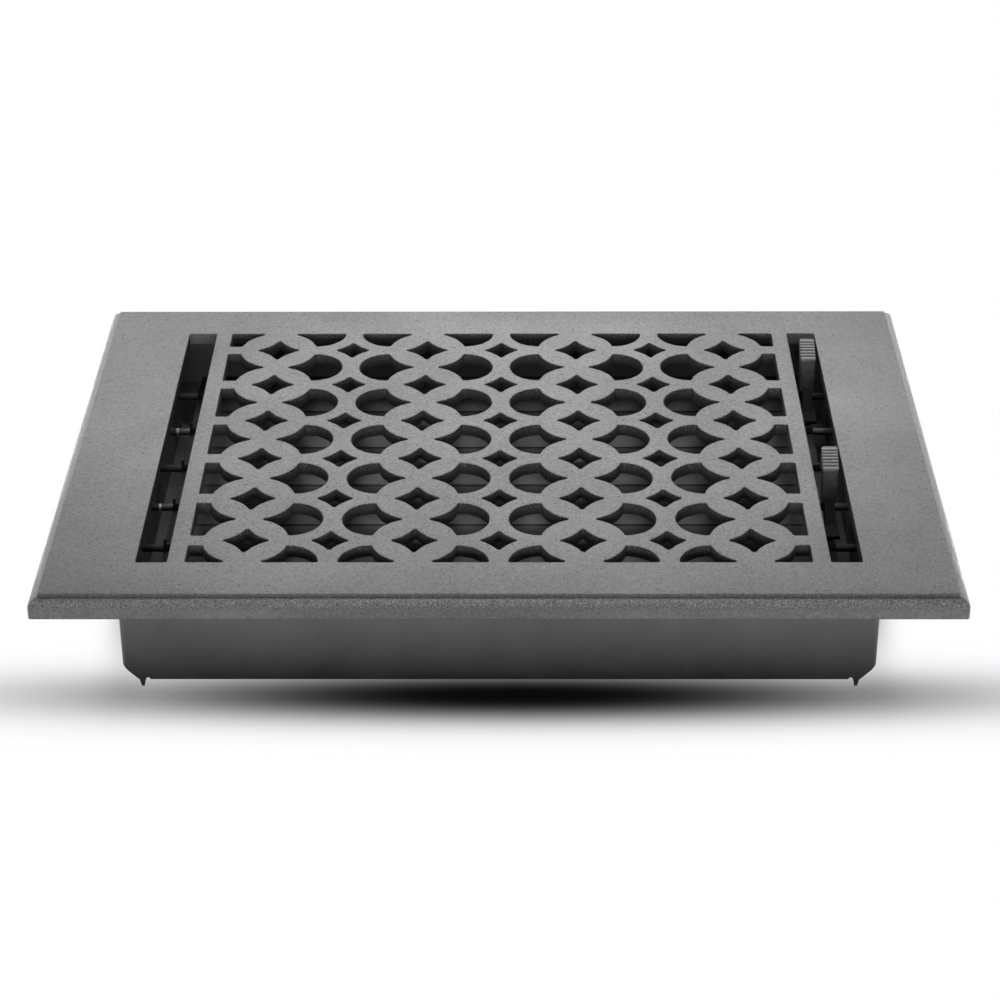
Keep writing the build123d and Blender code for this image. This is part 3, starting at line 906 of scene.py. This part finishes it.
class REGISTER_OT_cast_face(bpy.types.Operator):
    """Build the cast face with its lattice, slots and moulding"""

    bl_idname = "floor_register.cast_face"
    bl_label = "Cast face"

    def execute(self, context):
        scene = context.scene
        face = cast_face(scene.register_face, cast_coat(scene.register_colours))
        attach(face, "frame")
        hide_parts("face_grille")
        return {"FINISHED"}


class REGISTER_OT_thumb_levers(bpy.types.Operator):
    """Build the two ridged thumb levers"""

    bl_idname = "floor_register.thumb_levers"
    bl_label = "Thumb levers"

    def execute(self, context):
        scene = context.scene
        plastic = lever_plastic(scene.register_colours)
        black = scene.register_colours.louver
        paint = sheet_paint("lever_bracket_paint", black, scale=90.0, grain=1800.0, dull=0.7, gloss=0.15)
        for name in SETS:
            low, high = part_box(f"{name}_lever")
            pivot = PIVOTS[f"{name}_drive"]
            lever = thumb_lever(
                scene.register_lever, scene.register_face.pitch, f"{name}_thumb_lever", pivot, low.x, high.x,
                plastic, paint,
            )
            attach(lever, f"{name}_drive")
            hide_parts(f"{name}_lever")
        return {"FINISHED"}


class REGISTER_OT_damper_box(bpy.types.Operator):
    """Paint the four sheets of the damper box"""

    bl_idname = "floor_register.damper_box"
    bl_label = "Damper box"

    def execute(self, context):
        colours = context.scene.register_colours
        for name, inside, panels in (
            ("box_paint", tuple(colours.inside), PANELS),
            # The primer inside the lever end is darker, as painted shade
            ("lever_end_paint", tone(colours.inside, LEVER_END_PAINTED_SHADE), [LEVER_END]),
        ):
            paint = sheet_paint(
                name, colours.box, scale=45.0, grain=1600.0, dull=0.5, gloss=0.4,
                painted_foot_shade=BOX_FOOT_PAINTED_SHADE, inside=inside,
            )
            dress(panels, paint)
        return {"FINISHED"}


class REGISTER_OT_louvers(bpy.types.Operator):
    """Paint the louver blades and the bars that link them"""

    bl_idname = "floor_register.louvers"
    bl_label = "Louvers"

    def execute(self, context):
        blades = [f"{name}_{row}_blade" for name in SETS for row in ROWS]
        bars = [f"{name}_link_bar" for name in SETS]
        shade = context.scene.register_colours.louver
        dress(bars, sheet_paint("bar_paint", shade, scale=60.0, grain=300.0, dull=0.5, gloss=0.08))
        dress(blades, blade_paint(shade))
        return {"FINISHED"}


class REGISTER_OT_steel_pieces(bpy.types.Operator):
    """Finish the rods, rivets and screws"""

    bl_idname = "floor_register.steel_pieces"
    bl_label = "Steel pieces"

    def execute(self, context):
        colours = context.scene.register_colours
        rods = [f"{name}_{row}_rod" for name in SETS for row in ROWS]
        shade = tone(colours.louver, ROD_TONE)
        dress(rods, sheet_paint("rod_paint", shade, scale=300.0, grain=1400.0, dull=0.6, gloss=0.05))
        # Two rods take a bright steel spot, partly scuffed and partly a painted glint
        dress(RUBBED_GLINT_RODS, rod_paint("rubbed_rod_paint", colours, RUBBED_GLINT_SPOT))
        dress([f"{name}_lever_rivet" for name in SETS] + ["flange_screws"], drawn_steel(colours))
        return {"FINISHED"}


def lamp(name, place, aim, size, watts, beam):
    """A rectangular lamp that looks from its place to its aim; a beam under half a turn is held by a grid."""
    data = bpy.data.lights.new(name, "AREA")
    data.shape = "RECTANGLE"
    data.size, data.size_y = size
    data.energy = watts
    data.spread = beam
    made = bpy.data.objects.new(name, data)
    made.location = place
    made.rotation_euler = (Vector(aim) - Vector(place)).to_track_quat("-Z", "Y").to_euler()
    bpy.context.scene.collection.objects.link(made)


def seen_directly(tree):
    """One for camera, glossy and transmission rays, nought for the light that falls on the object."""
    path = tree.nodes.new("ShaderNodeLightPath")
    total = path.outputs["Is Camera Ray"]
    for name in ("Is Glossy Ray", "Is Transmission Ray"):
        either = tree.nodes.new("ShaderNodeMath")
        either.operation = "MAXIMUM"
        tree.links.new(total, either.inputs[0])
        tree.links.new(path.outputs[name], either.inputs[1])
        total = either.outputs["Value"]
    return total


def floor_paper():
    """Near-black paper, seen as white by rays that meet it directly, with painted soft shadows round the
    foot.

    Each painted shadow falls off as exp(-r * r / 2), r counted in the shadow's extents, and the floor inside
    the box is painted dark. The paper's light is one minus their sum, to a power.
    """
    f = Finish("floor_paper", Roughness=0.9, Specular_IOR_Level=0.1)
    fibre = f.noise(300.0, 2.0, 0.5)
    f.feed("Base Color", f.ramp(fibre, PAINTED_SHADOW_PAPER, (0.0, 0.7), (1.0, 1.1)))
    # Painted shade: the floor under the box and the soft shadows round it are set by position, not cast by
    # the lamps
    depths = [f.math("SUBTRACT", half, f.off_middle(axis, middle)) for axis, middle, half in PAINTED_FOOT_SHADOW]
    shadow = f.math("DIVIDE", f.math("MINIMUM", *depths), FOOT_SOFT, True)
    for middle, extent in PAINTED_FLOOR_SHADOWS:
        ellipse = f.node(
            "ShaderNodeMapping", {"vector_type": "TEXTURE"},
            Vector=f.place, Location=(*middle, 0.0), Scale=(*extent, 1.0),
        ).outputs["Vector"]
        square = f.node("ShaderNodeVectorMath", {"operation": "DOT_PRODUCT"}, _0=ellipse, _1=ellipse)
        shadow = f.math("ADD", shadow, f.math("POWER", exp(-0.5), square.outputs["Value"]))
    light = f.math("POWER", f.math("SUBTRACT", 1.0, shadow, True), FLOOR_POWER)
    factor = f.math("MULTIPLY", light, seen_directly(f.tree))
    white = f.node("ShaderNodeEmission", Color=WHITE, Strength=1.0).outputs["Emission"]
    mix = f.node("ShaderNodeMixShader", _0=factor, _1=f.shader.outputs["BSDF"], _2=white)
    f.tree.links.new(mix.outputs["Shader"], f.tree.nodes["Material Output"].inputs["Surface"])
    return f.material


def white_room(strength):
    """A white world for what the camera sees, and a dimmer one for the light that falls on the object."""
    world = bpy.data.worlds.new("white_room")
    world.use_nodes = True
    bpy.context.scene.world = world
    tree = world.node_tree
    dim = tree.nodes["Background"]
    bright = tree.nodes.new("ShaderNodeBackground")
    dim.inputs["Strength"].default_value = strength
    mix = tree.nodes.new("ShaderNodeMixShader")
    tree.links.new(seen_directly(tree), mix.inputs[0])
    for socket, background in zip(mix.inputs[1:], (dim, bright)):
        background.inputs["Color"].default_value = WHITE
        tree.links.new(background.outputs["Background"], socket)
    tree.links.new(mix.outputs["Shader"], tree.nodes["World Output"].inputs["Surface"])


class REGISTER_OT_stage(bpy.types.Operator):
    """Set the floor, lamps, world and camera"""

    bl_idname = "floor_register.stage"
    bl_label = "Stage"

    def execute(self, context):
        scene = context.scene
        s = scene.register_stage
        scene.view_settings.view_transform = "Standard"
        corners = FLOOR_REACH * np.pad(SQUARE, ((0, 0), (0, 1)))
        floor = piece_from_arrays("floor", corners, [np.array([[0, 1, 2, 3]])], floor_paper())
        white_room(s.ambient)
        for name, place, aim, size, setting, beam in LAMPS:
            lamp(name, place, aim, size, getattr(s, setting), radians(beam))
        data = bpy.data.cameras.new("camera")
        data.sensor_width = SENSOR_WIDE
        data.lens = s.lens
        camera = bpy.data.objects.new("camera", data)
        camera.location = CAMERA_PLACE
        camera.rotation_euler = [radians(turn) for turn in CAMERA_TURN]
        scene.collection.objects.link(camera)
        scene.camera = camera
        return {"FINISHED"}


class REGISTER_PT_sidebar(bpy.types.Panel):
    """Lists the register's pieces"""

    bl_idname = "REGISTER_PT_sidebar"
    bl_label = "Floor register"
    bl_space_type = "VIEW_3D"
    bl_region_type = "UI"
    bl_category = "Register"

    def draw(self, context):
        for operator in OPERATORS:
            self.layout.operator(operator.bl_idname)
        for group in GROUPS:
            holder = getattr(context.scene, group)
            for name in holder.__annotations__:
                self.layout.prop(holder, name)


OPERATORS = (
    REGISTER_OT_cast_face,
    REGISTER_OT_thumb_levers,
    REGISTER_OT_damper_box,
    REGISTER_OT_louvers,
    REGISTER_OT_steel_pieces,
    REGISTER_OT_stage,
)
GROUPS = {
    "register_face": RegisterFaceSizes,
    "register_lever": RegisterLeverSizes,
    "register_colours": RegisterColours,
    "register_stage": RegisterStage,
}


def register():
    """Registers the classes and hangs the property groups on the scene."""
    for made in (*GROUPS.values(), *OPERATORS, REGISTER_PT_sidebar):
        bpy.utils.register_class(made)
    for name, group in GROUPS.items():
        setattr(bpy.types.Scene, name, PointerProperty(type=group))


def unregister():
    """Takes the property groups and classes away again."""
    for name in GROUPS:
        delattr(bpy.types.Scene, name)
    for made in (REGISTER_PT_sidebar, *OPERATORS, *GROUPS.values()):
        bpy.utils.unregister_class(made)


def main():
    """Builds every piece in order."""
    register()
    bpy.ops.floor_register.cast_face()
    bpy.ops.floor_register.thumb_levers()
    bpy.ops.floor_register.damper_box()
    bpy.ops.floor_register.louvers()
    bpy.ops.floor_register.steel_pieces()
    bpy.ops.floor_register.stage()


if __name__ == "__main__":
    main()
